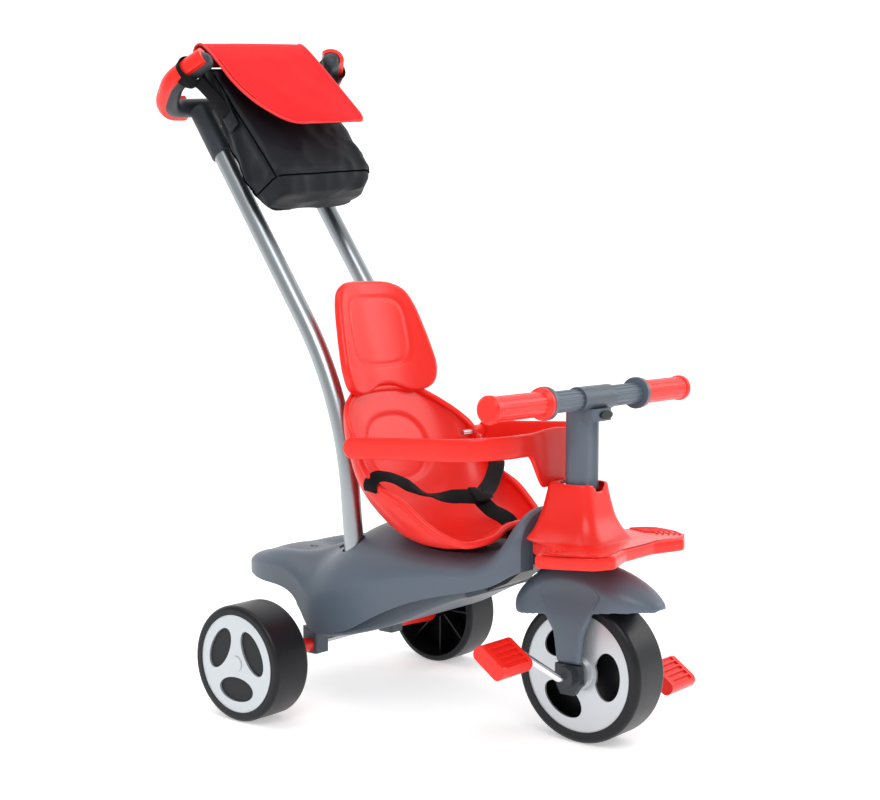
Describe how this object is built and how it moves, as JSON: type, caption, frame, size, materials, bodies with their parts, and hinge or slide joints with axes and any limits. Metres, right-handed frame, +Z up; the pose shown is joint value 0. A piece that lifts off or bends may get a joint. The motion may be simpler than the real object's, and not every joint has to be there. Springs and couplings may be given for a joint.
{
  "type": "children's push tricycle",
  "caption": "Children's tricycle with bucket seat, safety ring, footrests, pedals on the front wheel, and a bow push handle that carries a storage bag.",
  "frame": {"origin": "on the floor, midway between the front and rear wheel centres, on the plane of symmetry", "axes": "+Z up, -Y the way the tricycle rides, +X the rider's left"},
  "size_m": [0.49, 0.8026, 0.9669],
  "materials": {
    "red_plastic": "satin gloss",
    "grey_plastic": "satin",
    "dark_plastic": "satin",
    "black_plastic": "satin",
    "wheel_plastic": "satin",
    "silver_plastic": "satin metallic",
    "bright_tube": "polished",
    "chrome_rod": "bright",
    "steel": "zinc plated",
    "black_nylon": "woven nylon",
    "red_nylon": "woven nylon",
    "webbing": "woven webbing"
  },
  "bodies": {
    "frame": {"axle_nuts": "steel", "body_shell": "grey_plastic", "buckle": "black_plastic", "cowl_footrest": "red_plastic", "crotch_strap": "webbing", "front_beam": "dark_plastic", "handle_bridge": "dark_plastic", "handle_sleeve_left": "dark_plastic", "handle_sleeve_right": "dark_plastic", "head_bush_lower": "black_plastic", "head_bush_upper": "black_plastic", "headrest": "red_plastic", "post_nut": "steel", "push_tube_left": "bright_tube", "push_tube_right": "bright_tube", "rear_axle": "steel", "rear_bush_left": "red_plastic", "rear_bush_right": "red_plastic", "ring_pins": "steel", "seat_bolts": "steel", "seat_shell": "red_plastic", "tube_socket": "dark_plastic", "under_chassis": "dark_plastic", "waist_strap_left": "webbing", "waist_strap_right": "webbing"},
    "rear_wheel_right": {"rear_wheel_right": "wheel_plastic", "rear_disc_right": "silver_plastic", "rear_cap_right": "dark_plastic"},
    "rear_wheel_left": {"rear_wheel_left": "wheel_plastic", "rear_disc_left": "silver_plastic", "rear_cap_left": "dark_plastic"},
    "steering": {"fork": "grey_plastic", "fork_end_right": "dark_plastic", "fork_end_left": "dark_plastic", "steering_stem": "grey_plastic", "stem_plug": "black_plastic", "handlebar": "dark_plastic", "bar_clamp": "dark_plastic", "grip_right": "red_plastic", "grip_left": "red_plastic"},
    "front_wheel": {"front_wheel": "wheel_plastic", "front_disc_right": "silver_plastic", "front_disc_left": "silver_plastic", "crank_axle": "chrome_rod"},
    "pedal_right": {"pedal_right": "red_plastic"},
    "pedal_left": {"pedal_left": "red_plastic"},
    "push_handle": {"handle_bow": "dark_plastic", "grip_pad_right": "red_plastic", "grip_pad_left": "red_plastic", "bag_body": "black_nylon", "bag_straps": "webbing"},
    "bag_flap": {"bag_flap": "red_nylon"},
    "seat_ring": {"seat_ring": "red_plastic"}
  },
  "joints": [
    {"name": "rear_wheel_right_spin", "type": "hinge", "parent": "frame", "child": "rear_wheel_right", "pos_m": [-0.213, 0.211, 0.0807], "axis": [1, 0, 0], "continuous": true},
    {"name": "rear_wheel_left_spin", "type": "hinge", "parent": "frame", "child": "rear_wheel_left", "pos_m": [0.213, 0.211, 0.0807], "axis": [1, 0, 0], "continuous": true},
    {"name": "steering_turn", "type": "hinge", "parent": "frame", "child": "steering", "pos_m": [0, -0.195, 0.29], "axis": [0, 0, 1], "range_deg": [-38, 38]},
    {"name": "front_wheel_spin", "type": "hinge", "parent": "steering", "child": "front_wheel", "pos_m": [0, -0.211, 0.0951], "axis": [1, 0, 0], "continuous": true},
    {"name": "pedal_right_spin", "type": "hinge", "parent": "front_wheel", "child": "pedal_right", "pos_m": [-0.159, -0.18376, 0.13401], "axis": [1, 0, 0], "continuous": true},
    {"name": "pedal_left_spin", "type": "hinge", "parent": "front_wheel", "child": "pedal_left", "pos_m": [0.159, -0.23825, 0.05619], "axis": [1, 0, 0], "continuous": true},
    {"name": "push_handle_turn", "type": "hinge", "parent": "frame", "child": "push_handle", "pos_m": [0, 0.4487, 0.873], "axis": [0, 0.5664, 0.8241], "range_deg": [-11, 29]},
    {"name": "bag_flap_open", "type": "hinge", "parent": "push_handle", "child": "bag_flap", "pos_m": [-0.00829, 0.42453, 0.93026], "axis": [-0.9877, 0.1289, -0.0886], "range_deg": [0, 110]},
    {"name": "seat_ring_lift", "type": "hinge", "parent": "frame", "child": "seat_ring", "pos_m": [0, 0.084, 0.381], "axis": [-1, 0, 0], "range_deg": [0, 60]}
  ]
}
